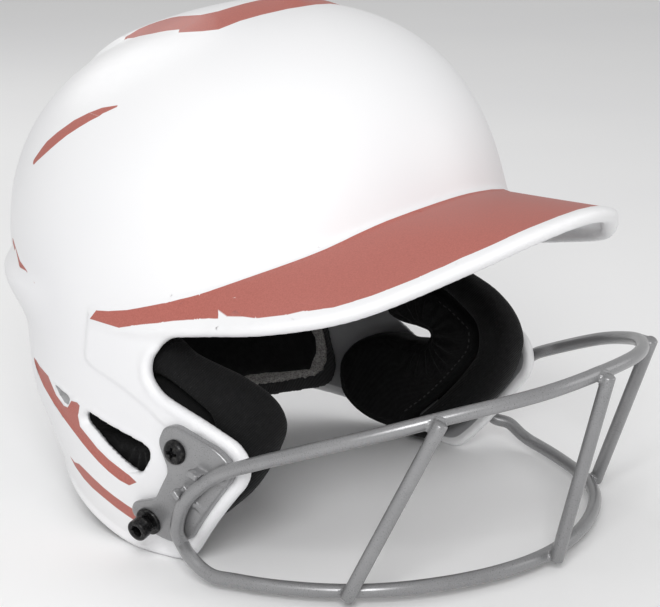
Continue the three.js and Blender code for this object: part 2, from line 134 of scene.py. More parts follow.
WIRE_UPPER = [(0, -196, 81), (36, -192, 80), (69, -172, 74.5), (90, -149, 66.5), (102, -127, 58.5)]
WIRE_ON_PLATE = [
    (-91, 44.5), (-84, 41), (-78.5, 37), (-72, 31), (-66.5, 24.5), (-62.5, 17), (-60.5, 11), (-61.5, 5.5),
]
WIRE_LOWER = [
    (112.2, -70, 1), (112.2, -77.5, -3), (111.3, -83.5, -4.8), (108.5, -91, -5), (102, -107, -5.3),
    (88, -131.5, -5),
    (69, -151.5, -4.3), (36, -168, -4.5), (0, -173.5, -5),
]
BARS = {
    "right": ((-72, -169.5, 73.8), (-85, -135, -5)),
    "centre": ((0, -196, 81), (0, -173.5, -5)),
    "left": ((72, -169.5, 73.8), (85, -135, -5)),
}
SCREW_SEAT, STUD_SEAT = (-62, 45.5), (-43, 10)
CLIPS = [((-74.5, 39.5), (-85.5, 35.5)), ((-65.8, 29), (-73, 21.5))]
SIDES = {"right": -1, "left": 1}


# ------------------------------------------------------------------ outlines and blends
def smoothstep(x, low, high):
    t = np.clip((x - low) / (high - low), 0, 1)
    return t * t * (3 - 2 * t)


def softened(table, reach):
    """The table's broken line as a curve: (places, values) for np.interp."""
    at = np.arange(-20, 170, 1.0)
    value = np.interp(at, [a for a, _ in table], [b for _, b in table])
    window = np.hanning(2 * reach + 1)
    padded = np.pad(value, reach, mode="edge")
    return at, np.convolve(padded, window / window.sum(), mode="valid")


def filleted(points, radius, steps=6):
    """The closed outline with each corner rounded off."""
    points = np.array(points, float)
    result = []
    for before, corner, after in zip(np.roll(points, 1, 0), points, np.roll(points, -1, 0)):
        a, b = before - corner, after - corner
        cut = min(radius, np.linalg.norm(a) * 0.48, np.linalg.norm(b) * 0.48)
        start = corner + a / np.linalg.norm(a) * cut
        end = corner + b / np.linalg.norm(b) * cut
        for t in np.linspace(0, 1, steps):
            result.append(start * (1 - t) ** 2 + corner * 2 * t * (1 - t) + end * t * t)
    return np.array(result)


def outline_distance(u, v, points):
    """Distance to a closed outline, less than nothing inside it."""
    u, v = np.broadcast_arrays(u, v)
    best = np.full(u.shape, 1e9)
    inside = np.zeros(u.shape, bool)
    points = np.array(points, float)
    for (u0, v0), (u1, v1) in zip(points, np.roll(points, -1, 0)):
        du, dv = u1 - u0, v1 - v0
        t = np.clip(((u - u0) * du + (v - v0) * dv) / (du * du + dv * dv + 1e-12), 0, 1)
        best = np.minimum(best, (u - u0 - t * du) ** 2 + (v - v0 - t * dv) ** 2)
        if dv != 0:
            crosses = ((v0 > v) != (v1 > v)) & (u < du * (v - v0) / dv + u0)
            inside ^= crosses
    distance = np.sqrt(best)
    return np.where(inside, -distance, distance)


def both_halves(right_half):
    """A closed plan outline from its right half, which starts and ends on the middle line."""
    other = [(-x, y) for x, y in right_half[-2:0:-1]]
    return list(right_half) + other


def join(a, b, k):
    """Union with a fillet of about k."""
    h = np.clip(0.5 + 0.5 * (b - a) / k, 0, 1)
    return b * (1 - h) + a * h - k * h * (1 - h)


def meet(a, b, k):
    return -join(-a, -b, k)


def rounded_slab(across, through, radius):
    """A plate with rounded edges from its distances across and through."""
    a, b = across + radius, through + radius
    return np.minimum(np.maximum(a, b), 0) + np.hypot(np.maximum(a, 0), np.maximum(b, 0)) - radius


def curve_points(points, places, closed=False):
    """Centripetal Catmull-Rom curve through the points, at places from 0 to 1."""
    points = np.array(points, float)
    if closed:
        run = np.vstack([points[-1:], points, points[:2]])
        spans = len(points)
    else:
        first, last = 2 * points[0] - points[1], 2 * points[-1] - points[-2]
        run = np.vstack([first, points, last])
        spans = len(points) - 1
    result = []
    for place in places:
        t = min(place * spans, spans - 1e-9)
        i = int(t)
        p = run[i:i + 4]
        knot = [0.0]
        for k in range(3):
            knot.append(knot[-1] + max(np.linalg.norm(p[k + 1] - p[k]), 1e-6) ** 0.5)
        s = knot[1] + (t - i) * (knot[2] - knot[1])

        def between(low, high, first, second):
            return ((knot[high] - s) * first + (s - knot[low]) * second) / (knot[high] - knot[low])

        a = [between(k, k + 1, p[k], p[k + 1]) for k in range(3)]
        b = [between(k, k + 2, a[k], a[k + 1]) for k in range(2)]
        result.append(between(1, 2, b[0], b[1]))
    return np.array(result)


# ------------------------------------------------------------------ the shell's surface
WIDTH_CURVE = softened(HALF_WIDTH, 14)
BACK_CURVE = softened(BACK, 14)


def pitched(y, z):
    """Along and up the head from the dome's centre, turned by the helmet's pitch."""
    along = (y - CENTRE_Y) * math.cos(PITCH) - (z - CENTRE_Z) * math.sin(PITCH)
    return along, (y - CENTRE_Y) * math.sin(PITCH) + (z - CENTRE_Z) * math.cos(PITCH)


def dome_gauge(x, y, z):
    """1 on the shell's outer surface and less inside it."""
    along, up = pitched(y, z)
    width = np.interp(-up, *WIDTH_CURVE)
    length = np.where(along < 0, FRONT, np.interp(-up, *BACK_CURVE))
    low = np.where(along < 0, 2.6, 2.3)
    n = 2 + (low - 2) * smoothstep(-up, 5, 50)
    plan = ((np.abs(x) / width) ** n + (np.abs(along) / length) ** n) ** (1 / n)
    above = np.maximum(up, 0) / RISE
    return (plan ** 2.35 + above ** 2.35) ** (1 / 2.35)


def dome_distance(x, y, z):
    """About the distance outside the plain dome, in mm, at scattered points."""
    step = 0.5
    value = dome_gauge(x, y, z)
    slope = [
        (dome_gauge(x + a, y + b, z + c) - dome_gauge(x - a, y - b, z - c)) / (2 * step)
        for a, b, c in ((step, 0, 0), (0, step, 0), (0, 0, step))
    ]
    return (value - 1) / np.maximum(np.sqrt(sum(s * s for s in slope)), 1e-4) - nape_flare(y, z)


def nape_flare(y, z):
    side = smoothstep(y, 15, 60)
    return 5 * side * smoothstep(106 - z, 0, 10) * (1 - smoothstep(106 - z, 10, 34))


def wall_seat(y, z, side, lift=0.0):
    """The point of the side wall seen at (y, z), moved out along the wall's normal by lift."""
    near, far = 20.0, 140.0
    for _ in range(36):
        middle = (near + far) / 2
        if dome_gauge(middle, y, z) > 1:
            far = middle
        else:
            near = middle
    point = np.array([side * far, y, z])
    return point + wall_normal(y, z, side) * lift if lift else point


def wall_normal(y, z, side):
    dy = wall_seat(y + 2, z, side) - wall_seat(y - 2, z, side)
    dz = wall_seat(y, z + 2, side) - wall_seat(y, z - 2, side)
    normal = np.cross(dy, dz)
    normal /= np.linalg.norm(normal)
    return normal * math.copysign(1, normal[0] * side)


# ------------------------------------------------------------------ fields to meshes
def grid(low, high, cell):
    """Open coordinate grids covering the box."""
    axes = [np.arange(a, b + cell, cell) for a, b in zip(low, high)]
    return np.meshgrid(*axes, indexing="ij", sparse=True)


def surface_net(field, origin, cell):
    """Points and quads of the surface where the field passes through nothing."""
    solid = field < 0
    shape = np.array(field.shape) - 1
    count = np.zeros(shape, np.int8)
    corners = [(i, j, k) for i in (0, 1) for j in (0, 1) for k in (0, 1)]
    for i, j, k in corners:
        count += solid[i:i + shape[0], j:j + shape[1], k:k + shape[2]]
    active = (count > 0) & (count < 8)
    index = np.full(shape, -1, np.int64)
    cells = np.argwhere(active)
    index[active] = np.arange(len(cells))
    total = np.zeros((len(cells), 3))
    hits = np.zeros(len(cells))
    for a, first in enumerate(corners):
        for second in corners[a + 1:]:
            if sum(abs(p - q) for p, q in zip(first, second)) != 1:
                continue
            f0 = field[tuple((cells + first).T)]
            f1 = field[tuple((cells + second).T)]
            crossed = (f0 < 0) != (f1 < 0)
            t = np.where(crossed, f0 / np.where(crossed, f0 - f1, 1), 0)[:, None]
            place = np.array(first) * (1 - t) + np.array(second) * t
            total += place * crossed[:, None]
            hits += crossed
    points = (cells + total / hits[:, None]) * cell + np.array(origin)
    quads = []
    for axis in range(3):
        b, c = (axis + 1) % 3, (axis + 2) % 3
        head = [slice(1, -1)] * 3
        tail = [slice(1, -1)] * 3
        head[axis] = slice(0, -1)
        tail[axis] = slice(1, None)
        here, there = solid[tuple(head)], solid[tuple(tail)]
        edges = np.argwhere(here != there)
        offset = np.ones(3, int)
        offset[axis] = 0
        edges = edges + offset
        inner = solid[tuple(edges.T)]
        step_b, step_c = np.zeros(3, int), np.zeros(3, int)
        step_b[b] = 1
        step_c[c] = 1
        ring = [index[tuple((edges - p - q).T)] for p, q in (
            (step_b, step_c), (0 * step_b, step_c), (0 * step_b, 0 * step_c), (step_b, 0 * step_c))]
        quad = np.stack(ring, 1)
        quad[~inner] = quad[~inner][:, ::-1]
        quads.append(quad)
    return points, np.vstack(quads)


def mesh_object(name, points, faces):
    """An object from points in the drawing, in mm."""
    mesh = bpy.data.meshes.new(name)
    faces = faces.tolist() if hasattr(faces, "tolist") else faces
    mesh.from_pydata(((points + STAND) * 0.001).tolist(), [], faces)
    mesh.validate()
    mesh.polygons.foreach_set("use_smooth", [True] * len(mesh.polygons))
    mesh.update()
    made = bpy.data.objects.new(name, mesh)
    bpy.context.collection.objects.link(made)
    return made


def field_object(name, field, low, high, cell):
    """An object bounded by field(x, y, z) = 0."""
    x, y, z = grid(low, high, cell)
    points, quads = surface_net(field(x, y, z), low, cell)
    return mesh_object(name, points, quads)


def settle(made):
    """Applies every modifier of the object."""
    graph = bpy.context.evaluated_depsgraph_get()
    mesh = bpy.data.meshes.new_from_object(made.evaluated_get(graph))
    old = made.data
    made.modifiers.clear()
    made.data = mesh
    bpy.data.meshes.remove(old)
    mesh.name = made.name
    return made


def drawing_points(made):
    """The object's vertices in the drawing, in mm."""
    flat = np.empty(len(made.data.vertices) * 3)
    made.data.vertices.foreach_get("co", flat)
    return flat.reshape(-1, 3) * 1000 - STAND


def store(made, name, values):
    layer = made.data.attributes.new(name, "FLOAT", "POINT")
    layer.data.foreach_set("value", np.asarray(values, np.float32))


# ------------------------------------------------------------------ materials
class Look:
    """A Principled material and the nodes that feed it."""

    def __init__(self, name, roughness, metallic=0.0, coat=0.0, sheen=0.0, specular=0.5):
        self.material = bpy.data.materials.new(name)
        self.material.use_nodes = True
        self.tree = self.material.node_tree
        self.shader = self.tree.nodes["Principled BSDF"]
        self.shader.inputs["Roughness"].default_value = roughness
        self.shader.inputs["Metallic"].default_value = metallic
        self.shader.inputs["Coat Weight"].default_value = coat
        self.shader.inputs["Coat Roughness"].default_value = 0.25
        self.shader.inputs["Sheen Weight"].default_value = sheen
        self.shader.inputs["Sheen Roughness"].default_value = 0.5
        self.shader.inputs["Specular IOR Level"].default_value = specular
        self.place = self.tree.nodes.new("ShaderNodeTexCoord").outputs["Object"]

    def link(self, source, target):
        self.tree.links.new(source, target)

    def feed(self, value, socket):
        """Sets the socket to a number or a colour, or links a node's output to it."""
        if isinstance(value, tuple):
            socket.default_value = (*value, 1)
        elif isinstance(value, (int, float)):
            socket.default_value = value
        else:
            self.link(value, socket)

    def noise(self, scale, detail=3.0, roughness=0.5):
        made = self.tree.nodes.new("ShaderNodeTexNoise")
        made.inputs["Scale"].default_value = scale
        made.inputs["Detail"].default_value = detail
        made.inputs["Roughness"].default_value = roughness
        self.link(self.place, made.inputs["Vector"])
        return made.outputs["Fac"]

    def cells(self, scale):
        made = self.tree.nodes.new("ShaderNodeTexVoronoi")
        made.inputs["Scale"].default_value = scale
        self.link(self.place, made.inputs["Vector"])
        return made.outputs["Distance"]

    def wave(self, pitch, turn, distort=0.0):
        """Ribs of that pitch in metres, across the turned Z axis."""
        mapping = self.tree.nodes.new("ShaderNodeMapping")
        mapping.inputs["Rotation"].default_value = turn
        self.link(self.place, mapping.inputs["Vector"])
        made = self.tree.nodes.new("ShaderNodeTexWave")
        made.bands_direction = "Z"
        made.inputs["Scale"].default_value = 0.314159 / pitch
        made.inputs["Distortion"].default_value = distort
        made.inputs["Detail"].default_value = 0
        self.link(mapping.outputs["Vector"], made.inputs["Vector"])
        return made.outputs["Fac"]

    def spread(self, source, low, high, to_low=0.0, to_high=1.0):
        made = self.tree.nodes.new("ShaderNodeMapRange")
        made.inputs["From Min"].default_value = low
        made.inputs["From Max"].default_value = high
        made.inputs["To Min"].default_value = to_low
        made.inputs["To Max"].default_value = to_high
        self.link(source, made.inputs["Value"])
        return made.outputs["Result"]

    def attribute(self, name):
        made = self.tree.nodes.new("ShaderNodeAttribute")
        made.attribute_name = name
        return made.outputs["Fac"]

    def mix(self, factor, a, b, kind="RGBA"):
        made = self.tree.nodes.new("ShaderNodeMix")
        made.data_type = kind
        first, second, result = {"RGBA": (6, 7, 2), "FLOAT": (2, 3, 0)}[kind]
        self.feed(factor, made.inputs["Factor"])
        self.feed(a, made.inputs[first])
        self.feed(b, made.inputs[second])
        return made.outputs[result]

    def tone(self, source, a, b):
        """Wanders between two colours with the noise."""
        return self.mix(self.spread(source, 0.3, 0.7), a, b)

    def maths(self, kind, a, b):
        made = self.tree.nodes.new("ShaderNodeMath")
        made.operation = kind
        self.feed(a, made.inputs[0])
        self.feed(b, made.inputs[1])
        return made.outputs[0]

    def bump(self, height, depth, strength=1.0):
        made = self.tree.nodes.new("ShaderNodeBump")
        made.inputs["Distance"].default_value = depth
        made.inputs["Strength"].default_value = strength
        self.link(height, made.inputs["Height"])
        normal = self.shader.inputs["Normal"]
        if normal.is_linked:
            self.link(normal.links[0].from_socket, made.inputs["Normal"])
        self.link(made.outputs["Normal"], normal)

    def colour(self, source):
        self.link(source, self.shader.inputs["Base Color"])

    def rough(self, source):
        self.link(source, self.shader.inputs["Roughness"])

    def on(self, made):
        made.data.materials.clear()
        made.data.materials.append(self.material)


def shell_look():
    look = Look("painted_shell", 0.4, coat=0.12)
    white = look.tone(look.noise(9, 2), (0.80, 0.80, 0.815), (0.84, 0.84, 0.845))
    inside = look.tone(look.noise(60, 4), (0.30, 0.30, 0.31), (0.36, 0.36, 0.37))
    flake = look.noise(1500, 2, 0.7)
    speckled = look.mix(look.spread(flake, 0.32, 0.68), (0.33, 0.085, 0.065), (0.50, 0.155, 0.125))
    warm = look.tone(look.noise(14, 2), (0.40, 0.112, 0.086), (0.43, 0.13, 0.104))
    rose = look.mix(0.5, speckled, warm)
    grey = look.tone(look.noise(700, 2), (0.30, 0.30, 0.305), (0.36, 0.36, 0.365))
    skin = look.mix(look.spread(look.attribute("inside"), -0.3, 0.3), white, inside)
    recessed = look.mix(look.spread(look.attribute("grey"), -0.12, 0.12), skin, grey)
    painted = look.spread(look.attribute("paint"), -0.1, 0.1)
    look.colour(look.mix(painted, recessed, rose))
    fine = look.spread(look.noise(220, 3), 0.3, 0.7, 0.36, 0.44)
    matt = look.spread(flake, 0.3, 0.7, 0.46, 0.6)
    look.rough(look.mix(painted, fine, matt, "FLOAT"))
    look.bump(look.noise(320, 2), 0.00004, 0.5)
    return look


def mask_look():
    look = Look("grey_coating", 0.34, metallic=0.4, coat=0.35)
    grain = look.noise(2200, 2, 0.6)
    base = look.tone(look.noise(40, 4), (0.245, 0.245, 0.25), (0.29, 0.29, 0.295))
    dark = look.mix(look.spread(grain, 0.3, 0.75), (0.22, 0.22, 0.225), (0.31, 0.31, 0.315))
    look.colour(look.mix(look.spread(look.noise(120, 2), 0.35, 0.65), base, dark))
    look.rough(look.spread(grain, 0.3, 0.7, 0.26, 0.4))
    look.bump(grain, 0.00005, 0.5)
    look.bump(look.noise(170, 3), 0.00012, 0.4)
    return look


def hardware_look():
    look = Look("black_oxide", 0.3, metallic=0.7)
    wear = look.noise(500, 5, 0.65)
    look.colour(look.mix(look.spread(wear, 0.45, 0.8), (0.012, 0.012, 0.013), (0.07, 0.068, 0.065)))
    look.rough(look.spread(look.noise(900, 3), 0.3, 0.7, 0.24, 0.42))
    look.bump(look.noise(1400, 2), 0.00005, 0.6)
    return look


def knit_look(name, pitch, turn, low, high, depth):
    """Ribbed knitted fabric, with painted shade darkening the hollows between its ribs."""
    look = Look(name, 0.85, sheen=0.03, specular=0.2)
    ribs = look.wave(pitch, turn, 0.6)
    loops = look.wave(pitch * 0.8, (turn[0] + math.pi / 2, turn[1], turn[2] + 0.5), 0.8)
    weave = look.maths("MULTIPLY", ribs, look.maths("ADD", look.maths("MULTIPLY", loops, 0.4), 0.6))
    cloud = look.spread(look.noise(35, 3), 0.3, 0.7, 0.0, 0.25)
    # The weave's hollows take the low colour, which is painted shade in the rib hollows; the cloud noise adds
    # random tone.
    look.colour(look.mix(look.maths("MULTIPLY", look.maths("ADD", weave, cloud), 0.8), low, high))
    look.rough(look.spread(look.noise(400, 3), 0.3, 0.7, 0.78, 0.95))
    look.bump(weave, depth, 0.8)
    look.bump(look.noise(90, 3), 0.0004, 0.3)
    return look


def foam_look():
    look = Look("grey_foam", 0.95, specular=0.2)
    bubbles = look.cells(1100)
    coarse = look.noise(260, 4, 0.7)
    # Colour: darker in the bubbles' pits, which is painted shade in the pores, and patchy with the coarse
    # noise, which is the foam's own uneven tone.
    tone = look.maths("ADD", look.maths("MULTIPLY", bubbles, 0.7), look.maths("MULTIPLY", coarse, 0.5))
    look.colour(look.mix(look.spread(tone, 0.25, 0.85), (0.16, 0.155, 0.15), (0.42, 0.405, 0.39)))
    look.bump(bubbles, 0.0006, 0.8)
    look.bump(coarse, 0.0012, 0.7)
    return look


# Knitted fabrics: rib pitch in metres, turn of the ribs, colours of their hollows and backs, and depth; the
# darker hollow colour is painted shade.
KNITS = {
    "roll": ("rib_knit", 0.0009, (0.75, 0.3, 0.0), (0.002, 0.002, 0.0022), (0.008, 0.008, 0.0085), 0.00015),
    "lining": (
        "lining_knit", 0.0007, (0.2, 1.2, 0.4), (0.0018, 0.0018, 0.002), (0.006, 0.006, 0.0063), 0.00012,
    ),
    "backing": ("grey_backing", 0.0009, (0.0, 0.9, 0.2), (0.03, 0.03, 0.031), (0.06, 0.06, 0.061), 0.0002),
    "thread": ("thread", 0.0005, (0.4, 0.2, 0.9), (0.02, 0.02, 0.02), (0.06, 0.06, 0.06), 0.0001),
}
LOOKS = {"shell": shell_look(), "mask": mask_look(), "hardware": hardware_look(), "foam": foam_look()}
LOOKS.update({key: knit_look(*knit) for key, knit in KNITS.items()})


def place(made, look, material_slot, nodes=(), padded=None):
    """Finishes a piece: its look, the CAD nodes it stands for, and its ride."""
    LOOKS[look].on(made)
    if nodes:
        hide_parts(*nodes)
    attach(made, "root")
    return made


# ------------------------------------------------------------------ shell
def brim_curves(count):
    """Root, slab edge and rim centre of the left half of the brim, from temple to middle."""
    places = np.linspace(0, 0.5, count)
    lines = []
    for half in (BRIM_ROOT, BRIM_EDGE):
        lines.append(curve_points([(-x, y, z) for x, y, z in half] + half[-2::-1], places))
        lines[-1][:, 0] *= -1
    root, edge = lines
    inward = np.array([0, CENTRE_Y, 95]) - root
    inward /= np.linalg.norm(inward, axis=1)[:, None]
    rim = edge + np.array([-1.5, 2, RIM])
    rim[:, 0] = np.maximum(rim[:, 0], 0)
    return root, root + inward * (SHELL - 0.5), edge + np.array([0, 0, 2 * RIM - BRIM_THICK / 2]), rim


ROOT_LINE, SLAB_ROOT, SLAB_EDGE, RIM_LINE = brim_curves(240)


def brim_tree():
    rows = 14
    steps = np.linspace(0, 1, rows)[:, None, None]
    sheet = SLAB_ROOT[None] * (1 - steps) + SLAB_EDGE[None] * steps
    over = sheet[:, -2::-1].copy()
    over[:, :, 0] *= -1
    sheet = np.concatenate([sheet, over], 1)
    width = sheet.shape[1]
    faces = []
    for i in range(rows - 1):
        for j in range(width - 1):
            a = i * width + j
            faces.append((a, a + 1, a + width + 1, a + width))
    return BVHTree.FromPolygons(sheet.reshape(-1, 3).tolist(), faces)


BRIM_TREE = brim_tree()


def brim_distance(points, reach):
    """For scattered points with x >= 0, measured from the brim.

    Distance from its middle sheet, above it or not, distance from its rim's line, and the place on that line.
    """
    sheet = np.full(len(points), reach)
    above = np.zeros(len(points), bool)
    for i, p in enumerate(points.tolist()):
        location, normal, _, distance = BRIM_TREE.find_nearest(p, reach)
        if location is None:
            continue
        sheet[i] = distance
        out = Vector(p) - location
        above[i] = out.z * abs(normal.z) + out.x * abs(normal.x) - out.y * abs(normal.y) > 0
    rim = np.full(len(points), 1e9)
    nearest = np.zeros(len(points), int)
    for k, centre in enumerate(RIM_LINE):
        distance = np.sqrt(((points - centre) ** 2).sum(1))
        closer = distance < rim
        rim[closer] = distance[closer]
        nearest[closer] = k
    return sheet, above, rim, nearest


def rim_radius(nearest):
    """The rim swells out of the side wall over its first part."""
    return RIM * smoothstep(-RIM_LINE[nearest, 1], 12, 48)


TRIM_LINE = filleted(TRIM, 6)
PANEL_LINE = filleted(EAR_PANEL, 5)
VENT_LINE = filleted(VENT, 2)
BEVEL_LINE = filleted(VENT_BEVEL, 2)
POCKET_LINE = filleted(POCKET, 1.2)
TEE_LINE = filleted(TEE, 1.6)
LOW_LINE = filleted(LOW_STRIPE, 3)
STRIPES = [(TEE_LINE, 0.5), (LOW_LINE, 0.3), (filleted(SLIVER, 3), 0.35), (filleted(NAPE_SLIVER, 2), 0.9)]
TOP_LINE = filleted(both_halves(SPINE_TOP), 3)
FOOT_LINE = filleted(both_halves(SPINE_FOOT), 1.6)


def spine(x, y):
    """Height of the crown's raised spine, and the distance inside its painted slope."""
    top = -outline_distance(x, y, TOP_LINE)
    foot = -outline_distance(x, y, FOOT_LINE)
    slope = np.clip(foot / np.maximum(foot - top, 0.1), 0, 1)
    height = SPINE_HEIGHT * np.where(top > 0, 1, np.where(foot > 0, slope, 0))
    return height * (1 - smoothstep(y, 40, 92)), np.minimum(foot, -top)


def shell_object():
    cell = SHELL_CELL
    low = (0.0, -193.0, -15.5)
    x, y, z = grid(low, (126, 121, 222), cell)
    gauge = dome_gauge(x, y, z).astype(np.float32)
    slope = np.gradient(gauge, cell)
    base = (gauge - 1) / np.maximum(np.sqrt(slope[0] ** 2 + slope[1] ** 2 + slope[2] ** 2), 1e-4)
    del slope, gauge
    base = np.clip(base, -40, 60) - nape_flare(y, z)
    panel, bevel, vent, pocket, tee, trim = (outline_distance(y, z, line) for line in (
        PANEL_LINE, BEVEL_LINE, VENT_LINE, POCKET_LINE, TEE_LINE, TRIM_LINE))
    side = smoothstep(x, 60, 70)
    relief = 0.9 * smoothstep(-panel, -1.0, 1.0)
    border = np.minimum(np.minimum(np.abs(bevel - 1.0), np.abs(pocket - 1.0)), np.abs(tee - 0.9))
    relief = relief - BEVEL_DEPTH * np.clip(-bevel / 3.2, 0, 1) + EDGING * (1 - smoothstep(border, 0.5, 1.3))
    relief = relief - POCKET_DEPTH * smoothstep(-pocket, -0.4, 1.8) - 0.35 * smoothstep(-tee, -0.3, 0.5)
    height, _ = spine(x, y)
    crown = smoothstep(z, 160, 180)
    outer = base - relief * side - height * crown
    inner = -(base + SHELL)
    wall = np.maximum(outer, inner)
    wall = meet(wall, -trim, 1.5)
    bead = np.hypot(base + 1.2, trim - 1.4) - BEAD
    bead = bead + 6 * smoothstep(z, 84, 96)
    wall = join(wall, bead, 1.2)
    wall = np.where(x > 60, np.maximum(wall, -vent), wall)
    near = (y < -6) & (z > 80) & (z < 158) & (base > -9) & (base < 75)
    points = np.argwhere(near) * cell + np.array(low)
    sheet, _, rim, nearest = brim_distance(points, 9.0)
    slab = sheet - BRIM_THICK / 2
    brim = join(slab, rim - rim_radius(nearest), 1.6)
    brim = np.maximum(brim, inner[near])
    wall[near] = join(wall[near], brim, 3.0)
    wall = np.maximum(wall, FLOOR - z)
    whole = np.concatenate([wall[:0:-1], wall], 0)
    start = (-(wall.shape[0] - 1) * cell, low[1], low[2])
    points, quads = surface_net(whole, start, cell)
    made = mesh_object("outer_shell_skin", points, quads)
    paint_shell(made)
    painted = np.empty(len(made.data.vertices), np.float32)
    made.data.attributes["paint"].data.foreach_get("value", painted)
    border_group = made.vertex_groups.new(name="paint_border")
    border_group.add(np.flatnonzero(np.abs(painted) < PAINT_BORDER).tolist(), BORDER_HOLD, "REPLACE")
    for name in ("paint", "inside", "grey"):
        made.data.attributes.remove(made.data.attributes[name])
    fewer = made.modifiers.new("fewer", "DECIMATE")
    fewer.vertex_group = "paint_border"
    fewer.ratio = min(1.0, SKIN_TRIANGLES / (2 * len(quads)))
    settle(made)
    made.vertex_groups.clear()
    made.data.polygons.foreach_set("use_smooth", [True] * len(made.data.polygons))
    return made


def paint_shell(made):
    """Stores how far each vertex is inside the rose, grey and inner zones, in mm."""
    p = drawing_points(made)
    x, y, z = np.abs(p[:, 0]), p[:, 1], p[:, 2]
    folded = np.stack([x, y, z], 1)
    base = dome_distance(x, y, z)
    paint = np.full(len(p), -9.0)
    wall = (x > 60) & (base > -2.2)
    for outline, wider in STRIPES:
        paint = np.where(wall, np.maximum(paint, wider - outline_distance(y, z, outline)), paint)
    _, slope = spine(x, y)
    fading = np.minimum(slope, 40 - y)
    paint = np.where((z > 150) & (base > -2.2), np.maximum(paint, fading), paint)
    near = (y < -6) & (base > -3) & (z > 80) & (z < 160)
    _, above, _, nearest = brim_distance(folded[near], 12.0)
    inward = SLAB_ROOT - SLAB_EDGE
    width = np.linalg.norm(inward, axis=1)[:, None]
    flat = smoothstep(width, 6, 18)
    inward = inward / width * flat + np.array([0, 0, 1.0]) * (1 - flat)
    inward /= np.linalg.norm(inward, axis=1)[:, None]
    tangent = np.gradient(RIM_LINE, axis=0)
    over = np.cross(tangent, inward)
    over *= np.sign(over @ np.array([1, -0.3, 1.2]))[:, None]
    over /= np.linalg.norm(over, axis=1)[:, None]
    offset = folded[near] - RIM_LINE[nearest]
    behind = (offset * inward[nearest]).sum(1)
    outside = (offset * over[nearest]).sum(1)
    turn = np.degrees(np.arctan2(x[near], -(y[near] - CENTRE_Y)))
    line = np.degrees(np.arctan2(ROOT_LINE[:, 0], -(ROOT_LINE[:, 1] - CENTRE_Y)))
    root = np.interp(turn, line[::-1], ROOT_LINE[::-1, 2])
    band = np.minimum(root - z[near] + np.maximum(base[near], -0.5), behind - 0.55 * rim_radius(nearest))
    by_rim = (behind < 7) | (width[nearest, 0] < 16)
    band = np.where(by_rim, np.minimum(band, outside - 1.2), band)
    band = np.where(above | by_rim | (base[near] < 3), band, -9)
    band = np.minimum(band, (85 - turn) * 1.9)
    paint[near] = np.maximum(paint[near], band)
    store(made, "paint", np.clip(paint, -4, 4))
    under = (y < -30) & (z > 84) & (base > 3)
    trim = outline_distance(y, z, TRIM_LINE)
    store(made, "inside", np.where(under, -1, np.clip(np.minimum(-base - 2.6, trim - 3.5), -1, 1)))
    grey = np.where(wall, -outline_distance(y, z, POCKET_LINE) - 0.6, -9)
    store(made, "grey", np.clip(grey, -4, 4))


shell = shell_object()
paint_shell(shell)
place(shell, "shell", "shell_white", ["outer_shell"])


# ------------------------------------------------------------------ mask
def ring_faces(first, count, sides, closed=False):
    """The faces of a rod whose rings of vertices follow one another from first."""
    faces = []
    for i in range(count if closed else count - 1):
        for j in range(sides):
            a, b = i * sides + j, i * sides + (j + 1) % sides
            c, d = ((i + 1) % count) * sides + (j + 1) % sides, ((i + 1) % count) * sides + j
            faces.append((first + a, first + b, first + c, first + d))
    if not closed:
        faces.append(tuple(range(first, first + sides))[::-1])
        faces.append(tuple(range(first + (count - 1) * sides, first + count * sides)))
    return faces


def tube(name, path, radius, closed, sides=20, bevel=0.6):
    """A round rod along the path, with bevelled ends if it is open."""
    path = np.array(path, float)
    if closed:
        tangent = np.roll(path, -1, 0) - np.roll(path, 1, 0)
    else:
        tangent = np.gradient(path, axis=0)
    tangent /= np.linalg.norm(tangent, axis=1)[:, None]
    across = np.cross(tangent[0], [0, 0, 1.0])
    if np.linalg.norm(across) < 0.1:
        across = np.cross(tangent[0], [0, 1.0, 0])
    rings = []
    if not closed:
        first, last = path[:1] + tangent[0] * bevel, path[-1:] - tangent[-1] * bevel
        path = np.vstack([path[:1], first, path[1:-1], last, path[-1:]])
        tangent = np.vstack([tangent[:1], tangent[:1], tangent[1:-1], tangent[-1:], tangent[-1:]])
    radii = np.full(len(path), radius)
    if not closed:
        radii[0] = radii[-1] = radius - bevel
    angle = np.linspace(0, 2 * math.pi, sides, endpoint=False)
    for p, t, r in zip(path, tangent, radii):
        across = across - t * across.dot(t)
        across /= np.linalg.norm(across)
        up = np.cross(t, across)
        rings.append(p + r * (np.cos(angle)[:, None] * across + np.sin(angle)[:, None] * up))
    return mesh_object(name, np.vstack(rings), ring_faces(0, len(rings), sides, closed))


def loop_path():
    lift = PLATE + WIRE + 3 * GAP
    half = list(WIRE_UPPER)
    half += [tuple(wall_seat(y, z, 1, lift)) for y, z in WIRE_ON_PLATE]
    half += list(WIRE_LOWER)
    whole = half + [(-x, y, z) for x, y, z in half[-2:0:-1]]
    path = curve_points(whole, np.linspace(0, 1, 420, endpoint=False), closed=True)
    for _ in range(5):
        path = (np.roll(path, 1, 0) + 2 * path + np.roll(path, -1, 0)) / 4
    return path


def bar_ends(top, foot):
    def forward(p):
        out = np.array([p[0], p[1] + 70, 0.0])
        return p + out / np.linalg.norm(out) * (2 * WIRE - BAR_SINK)

    high, low = forward(np.array(top, float)), forward(np.array(foot, float))
    along = (high - low) / np.linalg.norm(high - low)
    return low - along * BAR_PAST_FOOT, high + along * BAR_PAST_TOP


def path_distance(points, path, closed):
    """Distance from each point to the nearest piece of the path."""
    best = np.full(points.shape[:-1], 1e9)
    ends = np.roll(path, -1, 0) if closed else path[1:]
    starts = path if closed else path[:-1]
    for a, b in zip(starts, ends):
        d = b - a
        t = np.clip(((points - a) @ d) / (d @ d), 0, 1)
        best = np.minimum(best, ((points - a - t[..., None] * d) ** 2).sum(-1))
    return np.sqrt(best)


